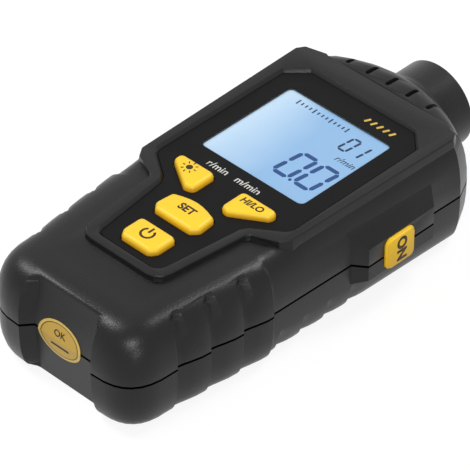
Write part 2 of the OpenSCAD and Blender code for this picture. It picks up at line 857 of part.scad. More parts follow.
module nose_housing() {
    bore_r = barrel_r - barrel_wall;
    color("#262626") difference() {
        union() {
            intersection() {
                loft(concat(
                    [collar_ring(collar_y - over, collar_hw + over, collar_top, collar_low, collar_power)],
                    [for (r = collar_rings)
                        collar_ring(collar_y + r[0], collar_hw - r[1], collar_top - r[2], collar_low - r[3],
                                    r[4])],
                    [for (e = [collar_root, collar_end])
                        collar_ring(collar_y + e.x, barrel_r + e.y, barrel_r + e.y, barrel_r + e.y, 2)]
                ));
                translate([0, 0, -over]) linear_extrude(space) polygon(collar_base);
            }
            translate([0, barrel_back_y, parting_z]) rotate([-90, 0, 0])
                cylinder(r = barrel_r, h = barrel_y - barrel_back_y);
        }
        translate([0, barrel_back_y - over, parting_z]) rotate([-90, 0, 0])
            cylinder(r = bore_r, h = barrel_y - barrel_back_y + 2 * over);
        for (k = [0:slot_n - 1])
            translate([(k - (slot_n - 1) / 2) * slot_pitch, slot_y, parting_z + collar_top - slot_d])
                linear_extrude(slot_d + over) rounded_rect(slot_w, slot_l, slot_r);
    }
}

optic_gap = 0.1;
optic_r = barrel_r - barrel_wall - optic_gap;
lens_t = 2.6;
ring_t = 2.4;
lens_depth = 6;
ring_w = 1.8;
lens_y = barrel_y - lens_depth;

// Turned piece about the barrel's axis, from its back Y
module turned(y) {
    translate([0, y, parting_z]) rotate([-90, 0, 0]) children();
}

module lens_ring() {
    color("#1f1f20") turned(lens_y + lens_t) difference() {
        cylinder(r = optic_r, h = ring_t);
        translate([0, 0, -over]) cylinder(r = optic_r - ring_w, h = ring_t + 2 * over);
    }
}

module front_lens() {
    color("#7d2330", 0.6) turned(lens_y) cylinder(r = optic_r, h = lens_t);
}

holder_inset = 1;
holder_y = barrel_back_y + holder_inset;
holder_t = 12;
laser_r = 3.25;
laser_x = 4.6;
sensor_r = 2.5;
laser_inset = 1;
aperture_r = 1.2;
aperture_d = 1;
sensor_inset = 4;
sensor_l = 5;

module sensor_holder() {
    color("#28282a") turned(holder_y) difference() {
        cylinder(r = optic_r, h = holder_t);
        translate([laser_x, 0, -over]) cylinder(r = laser_r + optic_gap, h = holder_t + 2 * over);
        translate([-laser_x, 0, -over]) cylinder(r = sensor_r + optic_gap, h = holder_t + 2 * over);
    }
}

module laser_module() {
    color("#c9a24a") turned(holder_y + laser_inset) translate([laser_x, 0, 0]) difference() {
        cylinder(r = laser_r, h = holder_t + aperture_d);
        translate([0, 0, holder_t]) cylinder(r = aperture_r, h = aperture_d + over);
    }
}

module light_sensor() {
    color("#2a2430") turned(holder_y + sensor_inset) translate([-laser_x, 0, 0]) union() {
        cylinder(r = sensor_r, h = sensor_l);
        translate([0, 0, sensor_l]) intersection() {
            sphere(r = sensor_r);
            translate([-2 * sensor_r, -2 * sensor_r, 0]) cube(4 * sensor_r);
        }
    }
}

door_rib = 1.2;
door_rib_h = 4.2;
door_rib_end = 6;

module battery_door() {
    color(case_black) union() {
        translate([0, 0, door_z]) linear_extrude(door_t) door_outline(0);
        for (s = [-0.5, 0.5])
            translate([s * cell_pitch - door_rib / 2, bay_y + door_rib_end, door_z + door_t])
                cube([door_rib, bay_l - 2 * door_rib_end, door_rib_h]);
    }
}

cell_gap = 0.4;
cell_start_y = bay_y + contact_t + spring_l + cell_gap;
nipple_l = 1;
nipple_r = 1.9;

module battery_cells() {
    color("#4f6f8f") for (k = [-1:1]) translate([k * cell_pitch, cell_start_y, cell_z]) rotate([-90, 0, 0]) {
        cylinder(r = cell_r, h = cell_l - nipple_l);
        translate([0, 0, cell_l - nipple_l]) cylinder(r = nipple_r, h = nipple_l);
    }
}

spring_turns = 3;
spring_wire = 0.4;
spring_r = 3.6;
spring_tip_r = 2.4;
spring_steps = 12;
spring_sides = 6;
spring_gap = 0.1;

// Coil that narrows from its plate to the cell
module coil() {
    n = spring_turns * spring_steps;
    loft([for (k = [0:n])
        let (
            a = 360 * k / spring_steps,
            r = spring_r + (spring_tip_r - spring_r) * k / n,
            y = spring_wire + (spring_l - 2 * spring_wire) * k / n
        )
        [for (i = [0:spring_sides - 1])
            let (b = -360 * i / spring_sides, q = r + spring_wire * cos(b))
            [q * cos(a), y + spring_wire * sin(b), q * sin(a)]]]);
}

module battery_springs() {
    color(steel) for (k = [-1:1]) translate([k * cell_pitch, bay_y + contact_t + spring_gap, cell_z]) coil();
}

contact_w = 8;
contact_h = 9;

module battery_contacts() {
    color(steel) for (k = [-1:1], y = [bay_y, bay_y + bay_l - contact_t])
        translate([k * cell_pitch - contact_w / 2, y, cell_z - contact_h / 2])
            cube([contact_w, contact_t, contact_h]);
}

drive_l = 3.2;
drive_w = 0.7;
drive_d = 1;

module case_screws() {
    color(steel) for (p = screw_places()) translate([p.x, p.y, screw_head_z - screw_head_t]) difference() {
        union() {
            cylinder(r = screw_head_r, h = screw_head_t);
            cylinder(r = screw_thread_r, h = parting_z - screw_head_z + screw_bite);
        }
        for (a = [0, 90]) rotate(a) translate([-drive_l / 2, -drive_w / 2, -over])
            cube([drive_l, drive_w, drive_d + over]);
    }
}

seal_w = 16.8;
seal_h = 12.4;
seal_t = 0.15;
seal_x = -1.6;
seal_steps = 36;

// Half of the seal, above or below the parting plane, lying on its half of the recess floor
module seal_half(up) {
    lean = up ? -atan(recess_rise / upper_h) : atan(recess_fall / parting_z);
    translate([seal_x, tail_y + recess_d, parting_z]) rotate([90 + lean, 0, 0])
        linear_extrude(seal_t) intersection() {
            polygon([for (k = [0:seal_steps - 1])
                let (a = 360 * k / seal_steps)
                [seal_w / 2 * cos(a), seal_h / 2 * sin(a)]]);
            translate([-seal_w, up ? -seal_t : seal_t - 2 * seal_w]) square(2 * seal_w);
        }
}

module inspection_seal() {
    color("#d8b24a") union() {
        seal_half(true);
        seal_half(false);
    }
}

top_case();
bottom_case();
face_plate();
lcd_window();
lcd_glass();
lcd_backlight();
zebra_strip();
main_board();
controller_chip();
board_screws();
key_switches();
side_switch();
power_key();
select_key();
light_key();
max_min_key();
test_key();
nose_housing();
lens_ring();
front_lens();
sensor_holder();
laser_module();
light_sensor();
battery_door();
battery_cells();
battery_springs();
battery_contacts();
case_screws();
inspection_seal();
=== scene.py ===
import json
import math

import bpy
from mathutils import Matrix, Vector

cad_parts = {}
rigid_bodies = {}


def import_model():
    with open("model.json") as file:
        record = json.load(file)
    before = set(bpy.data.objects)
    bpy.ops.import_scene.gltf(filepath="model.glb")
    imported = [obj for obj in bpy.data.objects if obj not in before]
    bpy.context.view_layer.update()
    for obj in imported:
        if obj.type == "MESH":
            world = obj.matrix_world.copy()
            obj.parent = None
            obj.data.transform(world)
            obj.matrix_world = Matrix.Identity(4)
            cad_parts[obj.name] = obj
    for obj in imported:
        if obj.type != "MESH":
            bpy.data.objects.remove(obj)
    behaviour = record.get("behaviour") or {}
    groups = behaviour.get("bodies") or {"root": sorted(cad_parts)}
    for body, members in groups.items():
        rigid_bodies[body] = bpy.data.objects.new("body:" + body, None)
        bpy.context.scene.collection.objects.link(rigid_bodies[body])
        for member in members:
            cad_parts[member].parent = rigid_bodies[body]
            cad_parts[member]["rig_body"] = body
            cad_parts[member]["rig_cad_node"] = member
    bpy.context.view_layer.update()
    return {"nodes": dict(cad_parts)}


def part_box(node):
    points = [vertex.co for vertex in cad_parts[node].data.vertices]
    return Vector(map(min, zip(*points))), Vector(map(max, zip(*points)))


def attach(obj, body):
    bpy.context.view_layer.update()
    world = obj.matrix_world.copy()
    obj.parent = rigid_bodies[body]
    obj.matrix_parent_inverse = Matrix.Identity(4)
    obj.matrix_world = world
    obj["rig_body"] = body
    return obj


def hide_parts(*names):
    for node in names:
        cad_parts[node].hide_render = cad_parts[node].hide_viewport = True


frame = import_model()
mm = 0.001


# Colours and nodes

def linear(code):
    channels = [int(code[i:i + 2], 16) / 255 for i in (1, 3, 5)]
    return [c / 12.92 if c <= 0.04045 else ((c + 0.055) / 1.055) ** 2.4 for c in channels] + [1.0]


def addNode(tree, kind, sockets=None, links=None, **settings):
    made = tree.nodes.new(kind)
    for key, value in settings.items():
        setattr(made, key, value)
    for key, value in (sockets or {}).items():
        made.inputs[key].default_value = value
    for key, source in (links or {}).items():
        tree.links.new(source, made.inputs[key])
    return made


def startMaterial(name):
    material = bpy.data.materials.new(name)
    material.use_nodes = True
    material.node_tree.nodes.clear()
    return material, material.node_tree


def closeMaterial(tree, shader):
    addNode(tree, "ShaderNodeOutputMaterial", links={"Surface": shader})


def fadeTones(tree, share, span, first, last):
    # the first tone below the span, the last above it, and a straight fade between
    part = addNode(tree, "ShaderNodeMapRange", {"From Min": span[0], "From Max": span[1]}, {"Value": share})
    tones = addNode(tree, "ShaderNodeMix", {"A": linear(first), "B": linear(last)},
                    {"Factor": part.outputs["Result"]}, data_type="RGBA")
    return tones.outputs["Result"]


# Moulded plastics

# tone and band shares of the painted shade along the parting gap
seamShade = {"tone": "#020202", "core": 0.4, "edge": 0.6}  # core and edge are shares of the band's width


def shadeSeam(tree, shader, tone, place, look):
    # painted shade in the parting gap: colour and gloss fade to near black in a thin band around it
    high = addNode(tree, "ShaderNodeSeparateXYZ", links={"Vector": place}).outputs["Z"]
    away = addNode(tree, "ShaderNodeMath", {1: look["seamZ"]}, {0: high}, operation="SUBTRACT")
    far = addNode(tree, "ShaderNodeMath", links={0: away.outputs[0]}, operation="ABSOLUTE")
    band = look["seamMm"] * mm
    clear = addNode(tree, "ShaderNodeMapRange",
                    {"From Min": band * seamShade["core"], "From Max": band * seamShade["edge"]},
                    {"Value": far.outputs[0]})
    dimmed = addNode(tree, "ShaderNodeMix", {"A": linear(seamShade["tone"])},
                     {"Factor": clear.outputs["Result"], "B": tone}, data_type="RGBA")
    gloss = addNode(tree, "ShaderNodeMath", {1: look["specular"]}, {0: clear.outputs["Result"]},
                    operation="MULTIPLY")
    tree.links.new(dimmed.outputs["Result"], shader.inputs["Base Color"])
    tree.links.new(gloss.outputs[0], shader.inputs["Specular IOR Level"])


mould = {"grainDetail": 2.0, "grainRough": 0.6, "grainDepth": 0.2, "cloudDetail": 3.0,
         "toneSpan": (0.12, 0.42)}


def mouldedPlastic(name, look):
    # moulded plastic: a grain left by the mould breaks up the gloss, with a faint cloudiness in the colour
    material, tree = startMaterial(name)
    place = addNode(tree, "ShaderNodeTexCoord").outputs["Object"]
    grain = addNode(tree, "ShaderNodeTexNoise",
                    {"Scale": 1 / (look["grainMm"] * mm), "Detail": mould["grainDetail"],
                     "Roughness": mould["grainRough"]}, {"Vector": place})
    cloud = addNode(tree, "ShaderNodeTexNoise",
                    {"Scale": 1 / (look["cloudMm"] * mm), "Detail": mould["cloudDetail"]}, {"Vector": place})
    both = addNode(tree, "ShaderNodeMath", links={0: grain.outputs["Fac"], 1: cloud.outputs["Fac"]},
                   operation="MULTIPLY")
    tone = fadeTones(tree, both.outputs[0], mould["toneSpan"], look["dark"], look["light"])
    rough = addNode(tree, "ShaderNodeMapRange", {"To Min": look["rough"][0], "To Max": look["rough"][1]},
                    {"Value": grain.outputs["Fac"]})
    bump = addNode(tree, "ShaderNodeBump",
                   {"Strength": look["bump"], "Distance": look["grainMm"] * mm * mould["grainDepth"]},
                   {"Height": grain.outputs["Fac"]})
    shader = addNode(tree, "ShaderNodeBsdfPrincipled",
                     {"IOR": look["ior"], "Specular IOR Level": look["specular"]},
                     {"Base Color": tone, "Roughness": rough.outputs["Result"],
                      "Normal": bump.outputs["Normal"]})
    # painted shade along the parting gap, where a seam height is given
    if "seamZ" in look:
        shadeSeam(tree, shader, tone, place, look)
    closeMaterial(tree, shader.outputs["BSDF"])
    return material


print("materials")
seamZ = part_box("bottom_case")[1].z + 0.15 * mm  # about the middle of the parting gap
# ABS moulded in a spark-eroded tool: dull charcoal with glinting specks along the rounded edges.
# Its grain is finer than a render can show, so it is drawn coarser.
caseAbs = mouldedPlastic("spark_eroded_abs", {
    "grainMm": 0.45, "cloudMm": 14, "dark": "#0c0c0d", "light": "#141415", "rough": (0.24, 0.38),
    "bump": 0.65, "ior": 1.5, "specular": 0.27, "seamZ": seamZ, "seamMm": 0.8})
# the panel is the same plastic from a finer tool: darker and more even
panelAbs = mouldedPlastic("fine_satin_abs", {
    "grainMm": 0.35, "cloudMm": 18, "dark": "#111112", "light": "#171718", "rough": (0.5, 0.62),
    "bump": 0.2, "ior": 1.5, "specular": 0.08})
# black polycarbonate from a polished tool: smoother than the case, with a soft sheen round the tube
noseBlack = mouldedPlastic("satin_black_polycarbonate", {
    "grainMm": 0.5, "cloudMm": 10, "dark": "#1e1e1f", "light": "#282829", "rough": (0.26, 0.38),
    "bump": 0.3, "ior": 1.5, "specular": 0.16})
# epoxy pressed round a chip: matt near black
chipBlack = mouldedPlastic("moulded_epoxy", {
    "grainMm": 0.3, "cloudMm": 6, "dark": "#161617", "light": "#232324", "rough": (0.55, 0.7),
    "bump": 0.2, "ior": 1.5, "specular": 0.4})
# lacquer flowed over the board: even green with a clear gloss
boardGreen = mouldedPlastic("green_solder_mask", {
    "grainMm": 0.8, "cloudMm": 9, "dark": "#134a2c", "light": "#1d6a3f", "rough": (0.25, 0.35),
    "bump": 0.1, "ior": 1.52, "specular": 0.5})
# film shrunk round a cell: plain slate blue, smooth and glossy
cellSleeve = mouldedPlastic("shrunk_pvc_sleeve", {
    "grainMm": 0.6, "cloudMm": 12, "dark": "#2a4058", "light": "#3a587a", "rough": (0.25, 0.35),
    "bump": 0.05, "ior": 1.53, "specular": 0.5})
# frosted light guide: nearly white
guideWhite = mouldedPlastic("frosted_acrylic", {
    "grainMm": 0.5, "cloudMm": 10, "dark": "#dfe6ea", "light": "#eef3f6", "rough": (0.3, 0.4),
    "bump": 0.05, "ior": 1.49, "specular": 0.5})
# extruded contact strip: dull pink, a little uneven
stripPink = mouldedPlastic("silicone_rubber", {
    "grainMm": 0.4, "cloudMm": 3, "dark": "#b8606f", "light": "#d18a95", "rough": (0.6, 0.75),
    "bump": 0.1, "ior": 1.41, "specular": 0.3})
# ink pressed on by a pad: flat dark brown on the yellow
printBrown = mouldedPlastic("pad_printed_ink", {
    "grainMm": 0.3, "cloudMm": 4, "dark": "#2a1c0a", "light": "#3a2a12", "rough": (0.5, 0.6),
    "bump": 0.05, "ior": 1.5, "specular": 0.3})
# ink pushed through a screen: flat and opaque, white or gold on the panel
printWhite = mouldedPlastic("white_screen_ink", {
    "grainMm": 0.3, "cloudMm": 5, "dark": "#d9d9d6", "light": "#f2f2ee", "rough": (0.5, 0.6),
    "bump": 0.05, "ior": 1.5, "specular": 0.3})
printGold = mouldedPlastic("gold_screen_ink", {
    "grainMm": 0.3, "cloudMm": 5, "dark": "#c8a23a", "light": "#e6c45a", "rough": (0.4, 0.5),
    "bump": 0.05, "ior": 1.5, "specular": 0.4})
# switched liquid crystal: clear blue in the large digits, near navy in the thin marks
segmentBlue = mouldedPlastic("lit_crystal_segment", {
    "grainMm": 0.3, "cloudMm": 6, "dark": "#123f7a", "light": "#194a88", "rough": (0.4, 0.5),
    "bump": 0.02, "ior": 1.5, "specular": 0.2})
segmentNavy = mouldedPlastic("dark_crystal_mark", {
    "grainMm": 0.3, "cloudMm": 6, "dark": "#0a2648", "light": "#12305a", "rough": (0.4, 0.5),
    "bump": 0.02, "ior": 1.5, "specular": 0.2})


def keyPlastic(look):
    # moulded ABS keys: saturated satin yellow, with painted shade making it deeper and more orange towards
    # the foot
    material, tree = startMaterial("satin_yellow_abs")
    place = addNode(tree, "ShaderNodeTexCoord").outputs["Object"]
    high = addNode(tree, "ShaderNodeSeparateXYZ", links={"Vector": place}).outputs["Z"]
    footShadeTop = look["footZ"] + (look["topZ"] - look["footZ"]) * keyMould["fade"]
    body = fadeTones(tree, high, (look["footZ"], footShadeTop), look["foot"], look["top"])
    grain = addNode(tree, "ShaderNodeTexNoise",
                    {"Scale": 1 / (keyMould["grainMm"] * mm), "Detail": mould["grainDetail"]},
                    {"Vector": place})
    rough = addNode(tree, "ShaderNodeMapRange",
                    {"To Min": keyMould["rough"][0], "To Max": keyMould["rough"][1]},
                    {"Value": grain.outputs["Fac"]})
    bump = addNode(tree, "ShaderNodeBump",
                   {"Strength": keyMould["bump"], "Distance": keyMould["grainMm"] * mm * keyMould["depth"]},
                   {"Height": grain.outputs["Fac"]})
    shader = addNode(tree, "ShaderNodeBsdfPrincipled",
                     {"IOR": keyMould["ior"], "Specular IOR Level": keyMould["specular"]},
                     {"Base Color": body, "Roughness": rough.outputs["Result"],
                      "Normal": bump.outputs["Normal"]})
    closeMaterial(tree, shader.outputs["BSDF"])
    return material


keyMould = {"grainMm": 0.4, "rough": (0.36, 0.48), "bump": 0.12, "depth": 0.15, "fade": 0.75, "ior": 1.52,
            "specular": 0.4}  # fade is the share of the height that the foot's tone takes to give way
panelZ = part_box("face_plate")[1].z
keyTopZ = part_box("power_key")[1].z
# the foot tones are painted shade, darker and more orange low on each key
keyYellow = keyPlastic({"footZ": panelZ - 0.4 * mm, "topZ": keyTopZ, "foot": "#d9961a", "top": "#ffd02c"})
sideYellow = keyPlastic({"footZ": 10 * mm, "topZ": 24 * mm, "foot": "#f3bb26", "top": "#ffd02c"})


# Metal, foil and glass

markSpread = 0.2  # how far the tool's marks move the roughness, as a share of it


def metalFinish(name, tone, roughness, markMm):
    # plated or turned metal: fine marks from the tool spread the highlight
    material, tree = startMaterial(name)
    place = addNode(tree, "ShaderNodeTexCoord").outputs["Object"]
    marks = addNode(tree, "ShaderNodeTexNoise", {"Scale": 1 / (markMm * mm), "Detail": mould["grainDetail"]},
                    {"Vector": place})
    rough = addNode(tree, "ShaderNodeMapRange",
                    {"To Min": roughness * (1 - markSpread), "To Max": roughness * (1 + markSpread)},
                    {"Value": marks.outputs["Fac"]})
    shader = addNode(tree, "ShaderNodeBsdfPrincipled", {"Base Color": linear(tone), "Metallic": 1.0},
                     {"Roughness": rough.outputs["Result"]})
    closeMaterial(tree, shader.outputs["BSDF"])
    return material


screwSteel = metalFinish("zinc_plated_steel", "#a9acb0", 0.32, 0.3)
laserBrass = metalFinish("turned_brass", "#c9a24a", 0.25, 0.2)


def sealFinish(look):
    # printed foil label: satin gold with a thin brown ring near its edge
    material, tree = startMaterial("printed_gold_foil")
    place = addNode(tree, "ShaderNodeTexCoord").outputs["Object"]
    centred = addNode(tree, "ShaderNodeVectorMath", {1: look["centre"]}, {0: place}, operation="SUBTRACT")
    scaled = addNode(tree, "ShaderNodeVectorMath", {1: look["shrink"]}, {0: centred.outputs[0]},
                     operation="MULTIPLY")
    reach = addNode(tree, "ShaderNodeVectorMath", links={0: scaled.outputs[0]}, operation="LENGTH")
    ramp = addNode(tree, "ShaderNodeValToRGB", links={"Fac": reach.outputs["Value"]})
    ramp.color_ramp.interpolation = "CONSTANT"
    ramp.color_ramp.elements[0].color = linear(look["gold"])
    for stop, tone in ((look["ring"][0], look["ink"]), (look["ring"][1], look["rim"])):
        ramp.color_ramp.elements.new(stop).color = linear(tone)
    ramp.color_ramp.elements[3].color = linear(look["rim"])
    shader = addNode(tree, "ShaderNodeBsdfPrincipled",
                     {"Metallic": look["metallic"], "Roughness": look["roughness"],
                      "Specular IOR Level": look["specular"]}, {"Base Color": ramp.outputs["Color"]})
    closeMaterial(tree, shader.outputs["BSDF"])
    return material


sealLow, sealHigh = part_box("inspection_seal")
sealMid = (sealLow + sealHigh) / 2
sealSpan = sealHigh - sealLow
sealFoil = sealFinish({"centre": sealMid, "shrink": (2 / sealSpan.x, 0, 2 / sealSpan.z), "gold": "#c9a548",
                       "ink": "#5a4212", "rim": "#dcbc62", "ring": (0.84, 0.885), "metallic": 0.35,
                       "roughness": 0.42, "specular": 0.4})


def litDisplay(look):
    # backlit liquid crystal: pale blue, with a painted glare making it paler towards the left edge
    material, tree = startMaterial("backlit_crystal_glass")
    place = addNode(tree, "ShaderNodeTexCoord").outputs["Object"]
    parts = addNode(tree, "ShaderNodeSeparateXYZ", links={"Vector": place})
    across = addNode(tree, "ShaderNodeMapRange", {"From Min": look["low"].x, "From Max": look["high"].x},
                     {"Value": parts.outputs["X"]})
    cloud = addNode(tree, "ShaderNodeTexNoise", {"Scale": 1 / (look["cloudMm"] * mm), "Detail": 1.0},
                    {"Vector": place})
    drift = addNode(tree, "ShaderNodeMath", {1: look["drift"]}, {0: cloud.outputs["Fac"]},
                    operation="MULTIPLY")
    sweep = addNode(tree, "ShaderNodeMath", links={0: across.outputs["Result"], 1: drift.outputs[0]},
                    operation="ADD")
    tone = fadeTones(tree, sweep.outputs[0], look["span"], look["glare"], look["field"])
    shader = addNode(tree, "ShaderNodeBsdfPrincipled",
                     {"Roughness": look["roughness"], "IOR": 1.5, "Specular IOR Level": look["specular"],
                      "Emission Strength": look["glow"]},
                     {"Base Color": tone, "Emission Color": tone})
    closeMaterial(tree, shader.outputs["BSDF"])
    return material


lcdLow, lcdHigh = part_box("lcd_window")
# the glare tone is a painted reflection, fading from the left edge into the blue field
displayBlue = litDisplay({"low": lcdLow, "high": lcdHigh, "glare": "#c4dcf0", "field": "#8eb7de",
                          "span": (0.14, 0.62), "cloudMm": 22, "drift": 0.3, "roughness": 0.3,
                          "specular": 0.3, "glow": 0.06})


def clearSheet(name, tone, alpha, roughness):
    # polished clear plastic or glass: nearly invisible, with its own gloss
    material, tree = startMaterial(name)
    shader = addNode(tree, "ShaderNodeBsdfPrincipled",
                     {"Base Color": linear(tone), "Alpha": alpha, "Roughness": roughness, "IOR": 1.49})
    closeMaterial(tree, shader.outputs["BSDF"])
    return material


windowClear = clearSheet("clear_acrylic", "#e6f2fb", 0.03, 0.12)
lensGlass = clearSheet("tinted_polished_glass", "#3a1016", 0.75, 0.06)


# Pieces taken from the frame

def deselect():
    if bpy.context.object and bpy.context.object.mode != "OBJECT":
        bpy.ops.object.mode_set(mode="OBJECT")
    bpy.ops.object.select_all(action="DESELECT")


def pickOnly(piece):
    deselect()
    piece.select_set(True)
    bpy.context.view_layer.objects.active = piece


def paint(piece, material):
    piece.data.materials.clear()
    piece.data.materials.append(material)


dressing = {"weldMm": 0.002, "flatDeg": 0.4, "easeSteps": 3}


def dress(nodeName, spec):
    # a merged copy of the solid, its edges eased, its round faces shaded smooth and its flat ones flat
    pickOnly(frame["nodes"][nodeName])
    bpy.ops.object.duplicate()
    piece = bpy.context.active_object
    piece.parent = None
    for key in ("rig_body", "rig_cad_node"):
        del piece[key]
    piece.name = spec["name"]
    piece.data.name = spec["name"]
    bpy.ops.object.mode_set(mode="EDIT")
    bpy.ops.mesh.select_all(action="SELECT")
    bpy.ops.mesh.remove_doubles(threshold=dressing["weldMm"] * mm)
    bpy.ops.mesh.dissolve_limited(angle_limit=math.radians(dressing["flatDeg"]))
    bpy.ops.object.mode_set(mode="OBJECT")
    bpy.ops.mesh.customdata_custom_splitnormals_clear()
    ease = piece.modifiers.new("eased_edges", "BEVEL")
    ease.width = spec["bevelMm"] * mm
    ease.segments = dressing["easeSteps"]
    ease.limit_method = "ANGLE"
    ease.angle_limit = math.radians(spec["edgeDeg"])
    ease.use_clamp_overlap = True
    bpy.ops.object.modifier_apply(modifier=ease.name)
    bpy.ops.object.shade_smooth_by_angle(angle=math.radians(spec["smoothDeg"]))
    if spec.get("flatFaces"):
        even = piece.modifiers.new("flat_faces", "WEIGHTED_NORMAL")
        even.keep_sharp = True
        bpy.ops.object.modifier_apply(modifier=even.name)
    paint(piece, spec["finish"])
    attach(piece, spec["body"])
    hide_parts(nodeName)


shells = {
    "top_case": {"name": "upper_housing", "body": "housing", "slot": "case_plastic", "finish": caseAbs,
                 "bevelMm": 0.2, "edgeDeg": 40, "smoothDeg": 22},
    "bottom_case": {"name": "lower_housing", "body": "housing", "slot": "case_plastic", "finish": caseAbs,
                    "bevelMm": 0.2, "edgeDeg": 40, "smoothDeg": 22, "flatFaces": True},
    "face_plate": {"name": "key_panel", "body": "housing", "slot": "panel_plastic", "finish": panelAbs,
                   "bevelMm": 0.15, "edgeDeg": 35, "smoothDeg": 30, "flatFaces": True},
    "nose_housing": {"name": "slotted_nose", "body": "housing", "slot": "nose_plastic", "finish": noseBlack,
                     "bevelMm": 0.25, "edgeDeg": 40, "smoothDeg": 36},
    "lens_ring": {"name": "lens_retainer", "body": "housing", "slot": "nose_plastic", "finish": noseBlack,
                  "bevelMm": 0.25, "edgeDeg": 35, "smoothDeg": 30},
    "battery_door": {"name": "battery_cover", "body": "battery_door", "slot": "case_plastic",
                     "finish": caseAbs, "bevelMm": 0.25, "edgeDeg": 35, "smoothDeg": 30, "flatFaces": True},
    "test_key": {"name": "side_button", "body": "test_key", "slot": "key_yellow", "finish": sideYellow,
                 "bevelMm": 0.4, "edgeDeg": 35, "smoothDeg": 32},
}
for keyName in ("power_key", "select_key", "light_key", "max_min_key"):
    shells[keyName] = {"name": keyName + "_cap", "body": keyName, "slot": "key_yellow", "finish": keyYellow,
                       "bevelMm": 0.35, "edgeDeg": 30, "smoothDeg": 40}
for nodeName, spec in shells.items():
    dress(nodeName, spec)
print("shells dressed")

innerFinishes = {
    "lcd_window": windowClear, "lcd_glass": displayBlue, "lcd_backlight": guideWhite,
    "zebra_strip": stripPink, "main_board": boardGreen, "controller_chip": chipBlack,
    "board_screws": screwSteel, "key_switches": chipBlack, "side_switch": chipBlack,
    "front_lens": lensGlass, "sensor_holder": chipBlack, "laser_module": laserBrass,
    "light_sensor": chipBlack, "battery_cells": cellSleeve, "battery_springs": screwSteel,
    "battery_contacts": screwSteel, "case_screws": screwSteel, "inspection_seal": sealFoil,
}
for nodeName, material in innerFinishes.items():
    paint(frame["nodes"][nodeName], material)
print("inner pieces painted")


# Prints: thin layers of ink, modelled flat in the XY plane and then laid on their faces

ink = {"thickMm": 0.04, "sinkMm": 0.015, "weldMm": 0.001}  # sinkMm is how deep a layer starts below its face
capShare = 0.73  # height of a capital letter as a share of the font's size
upright = Matrix.Identity(3)
sideways = Matrix(((0, 0, 1), (0, 1, 0), (-1, 0, 0)))  # reads downwards, its top to the nose
sink = ink["sinkMm"] * mm


def layPrint(piece, name, turn, place, body, material):
    # gives the flat shape its ink thickness and puts it on its face
    pickOnly(piece)
    bpy.ops.object.mode_set(mode="EDIT")
    bpy.ops.mesh.select_all(action="SELECT")
    bpy.ops.mesh.remove_doubles(threshold=ink["weldMm"] * mm)
    bpy.ops.mesh.normals_make_consistent(inside=False)
    bpy.ops.mesh.extrude_region_move(TRANSFORM_OT_translate={"value": (0, 0, ink["thickMm"] * mm)})
    bpy.ops.mesh.select_all(action="SELECT")
    bpy.ops.mesh.normals_make_consistent(inside=False)
    bpy.ops.object.mode_set(mode="OBJECT")
    piece.data.transform(Matrix.Translation(place) @ turn.to_4x4())
    piece.name = name
    piece.data.name = name
    paint(piece, material)
    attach(piece, body)


def joined(parts):
    deselect()
    for part in parts:
        part.select_set(True)
    bpy.context.view_layer.objects.active = parts[0]
    bpy.ops.object.join()
    piece = bpy.context.active_object
    bpy.ops.object.transform_apply(location=True, rotation=True, scale=True)
    return piece


def flatText(spec):
    deselect()
    bpy.ops.object.text_add(location=(0, 0, 0))
    piece = bpy.context.active_object
    piece.data.body = spec["words"]
    piece.data.size = spec["cap"] * mm / capShare
    piece.data.shear = spec["slant"]
    piece.data.offset = spec["heavy"] * mm
    piece.data.align_x = "CENTER"
    piece.data.align_y = "CENTER"
    bpy.ops.object.convert(target="MESH")
    return bpy.context.active_object


def flatBar(x, y, length, width, angle=0.0):
    # a bar with its corners rounded off
    deselect()
    bpy.ops.mesh.primitive_plane_add(size=1, location=(x * mm, y * mm, 0),
                                     rotation=(0, 0, math.radians(angle)))
    piece = bpy.context.active_object
    piece.scale = (length * mm, width * mm, 1)
    bpy.ops.object.transform_apply(location=False, rotation=False, scale=True)
    bpy.ops.object.mode_set(mode="EDIT")
    bpy.ops.mesh.select_all(action="SELECT")
    bpy.ops.mesh.bevel(offset=min(length, width) * 0.25 * mm, segments=3, affect="VERTICES")
    bpy.ops.object.mode_set(mode="OBJECT")
    return piece


def flatRing(radius, width, gapDeg, steps=48):
    # a band around the origin, open at the top by gapDeg on either side
    deselect()
    outer = radius + width / 2
    inner = radius - width / 2
    bpy.ops.mesh.primitive_circle_add(vertices=steps, radius=outer * mm, fill_type="NOTHING")
    piece = bpy.context.active_object
    bpy.ops.object.mode_set(mode="EDIT")
    bpy.ops.mesh.select_all(action="SELECT")
    bpy.ops.mesh.extrude_edges_move()
    bpy.ops.transform.resize(value=(inner / outer, inner / outer, 1))
    bpy.ops.mesh.select_all(action="DESELECT")
    bpy.ops.object.mode_set(mode="OBJECT")
    for face in piece.data.polygons:
        away = abs(math.degrees(math.atan2(face.center.x, face.center.y)))
        face.select = away < gapDeg
    bpy.ops.object.mode_set(mode="EDIT")
    bpy.ops.mesh.delete(type="FACE")
    bpy.ops.object.mode_set(mode="OBJECT")
    return piece


def flatDisc(x, y, radius, steps=32):
    deselect()
    bpy.ops.mesh.primitive_circle_add(vertices=steps, radius=radius * mm, fill_type="NGON",
                                      location=(x * mm, y * mm, 0))
    return bpy.context.active_object


# Key marks

keyCentres = {"power_key": (-0.1, -41.6), "select_key": (0.2, -26.6), "light_key": (-12.6, -12.8),
              "max_min_key": (11.8, -12.6)}


def layOnKey(piece, name, key):
    place = Vector((keyCentres[key][0] * mm, keyCentres[key][1] * mm, keyTopZ - sink))
    layPrint(piece, name, upright, place, key, printBrown)


powerSign = {"radius": 2.0, "stroke": 0.75, "gapDeg": 38, "barY": 1.5, "barMm": 2.5}
powerRing = flatRing(powerSign["radius"], powerSign["stroke"], powerSign["gapDeg"])
powerBar = flatBar(0, powerSign["barY"], powerSign["stroke"], powerSign["barMm"])
layOnKey(joined([powerRing, powerBar]), "power_mark", "power_key")

setWord = {"words": "SET", "cap": 2.7, "slant": 0.0, "heavy": 0.14}
layOnKey(flatText(setWord), "set_mark", "select_key")

